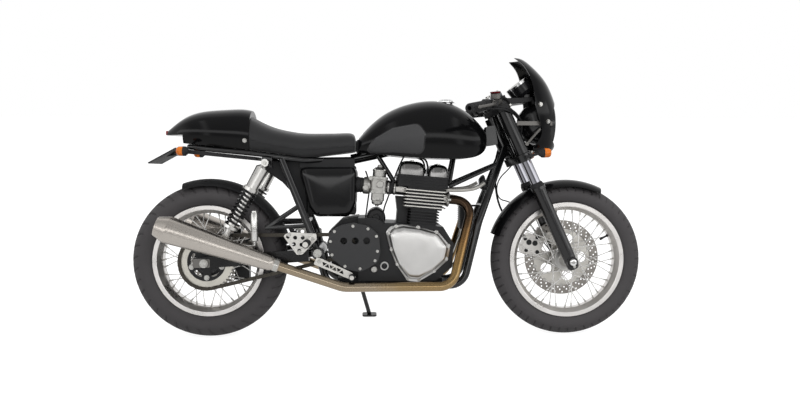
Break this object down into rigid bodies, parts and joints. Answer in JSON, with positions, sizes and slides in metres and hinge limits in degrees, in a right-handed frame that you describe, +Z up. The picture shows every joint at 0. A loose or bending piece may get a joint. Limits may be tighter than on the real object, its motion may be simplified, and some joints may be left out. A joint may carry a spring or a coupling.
{
  "type": "cafe racer motorcycle",
  "caption": "Black cafe racer motorcycle with an air-cooled parallel twin, nose fairing, humped seat, wire wheels and megaphone silencers, leaning on its side stand.",
  "frame": {"origin": "centre of the leaned machine's bounding box on the ground", "axes": "+X forward, +Y to the rider's left, +Z up; the machine leans to the left by ten degrees"},
  "size_m": [2.1259, 0.6988, 1.1475],
  "materials": {
    "tyre_rubber": "dull",
    "rim_alloy": "polished",
    "spoke_steel": "bright",
    "hub_alloy": "satin",
    "sprocket_steel": "satin",
    "disc_steel": "ground",
    "black_paint": "gloss",
    "fastener_steel": "satin",
    "fork_chrome": "polished",
    "bar_black": "satin",
    "lamp_glass": "clear",
    "body_black": "gloss",
    "bracket_alloy": "satin",
    "gauge_plastic": "gloss",
    "caliper_alloy": "cast",
    "amber_lens": "clear",
    "dull_plastic": "matte",
    "chain_steel": "oiled",
    "shock_alloy": "machined",
    "spring_black": "gloss",
    "engine_grey": "satin",
    "engine_black": "satin",
    "cover_alloy": "satin",
    "carburettor_alloy": "cast",
    "pipe_straw": "heat tinted",
    "silencer_steel": "brushed",
    "tank_black": "gloss",
    "cap_chrome": "polished",
    "seat_leather": "matte",
    "tail_lens": "clear"
  },
  "bodies": {
    "chassis": {"rear_mudguard": "dull_plastic", "frame": "black_paint", "swingarm": "black_paint", "rear_axle": "fastener_steel", "chain": "chain_steel", "shock_bodies": "shock_alloy", "shock_springs": "spring_black", "crankcase": "engine_grey", "cylinders": "engine_black", "cylinder_head": "engine_black", "cam_covers": "cover_alloy", "clutch_cover": "cover_alloy", "alternator_cover": "cover_alloy", "sprocket_cover": "engine_grey", "carburettors": "carburettor_alloy", "airbox": "dull_plastic", "side_covers": "body_black", "oil_cooler": "engine_black", "header_pipes": "pipe_straw", "silencers": "silencer_steel", "fuel_tank": "tank_black", "filler_cap": "cap_chrome", "seat": "seat_leather", "tail_cowl": "body_black", "tail_lamp": "tail_lens", "undertray": "dull_plastic", "rear_indicators": "amber_lens", "footrest_plates": "bracket_alloy", "foot_levers": "bracket_alloy", "rear_caliper": "caliper_alloy"},
    "front_wheel": {"front_tyre": "tyre_rubber", "front_rim": "rim_alloy", "front_spokes": "spoke_steel", "front_hub": "hub_alloy", "front_disc": "disc_steel"},
    "rear_wheel": {"rear_tyre": "tyre_rubber", "rear_rim": "rim_alloy", "rear_spokes": "spoke_steel", "rear_hub": "hub_alloy", "rear_sprocket": "sprocket_steel", "rear_disc": "disc_steel"},
    "steering": {"fork_sliders": "black_paint", "front_axle": "fastener_steel", "fork_tubes": "fork_chrome", "fork_covers": "black_paint", "lower_yoke": "black_paint", "top_yoke": "black_paint", "clip_ons": "bar_black", "headlamp_shell": "black_paint", "headlamp_lens": "lamp_glass", "nose_fairing": "body_black", "lamp_brackets": "bracket_alloy", "gauges": "gauge_plastic", "front_mudguard": "body_black", "front_caliper": "caliper_alloy", "front_indicators": "amber_lens"},
    "side_stand": {"side_stand": "black_paint"}
  },
  "joints": [
    {"name": "steering_turn", "type": "hinge", "parent": "chassis", "child": "steering", "pos_m": [0.50334, -0.02618, 0.73763], "axis": [-0.4147, 0.158, 0.8961], "range_deg": [-28, 28]},
    {"name": "front_wheel_spin", "type": "hinge", "parent": "steering", "child": "front_wheel", "pos_m": [0.746, -0.10105, 0.31299], "axis": [0, 0.9848, -0.1736], "continuous": true},
    {"name": "rear_wheel_spin", "type": "hinge", "parent": "chassis", "child": "rear_wheel", "pos_m": [-0.744, -0.10066, 0.3152], "axis": [0, 0.9848, -0.1736], "continuous": true},
    {"name": "side_stand_fold", "type": "hinge", "parent": "chassis", "child": "side_stand", "pos_m": [-0.127, -0.0013, 0.16967], "axis": [0.1176, 0.9204, 0.3729], "range_deg": [0, 103]}
  ]
}
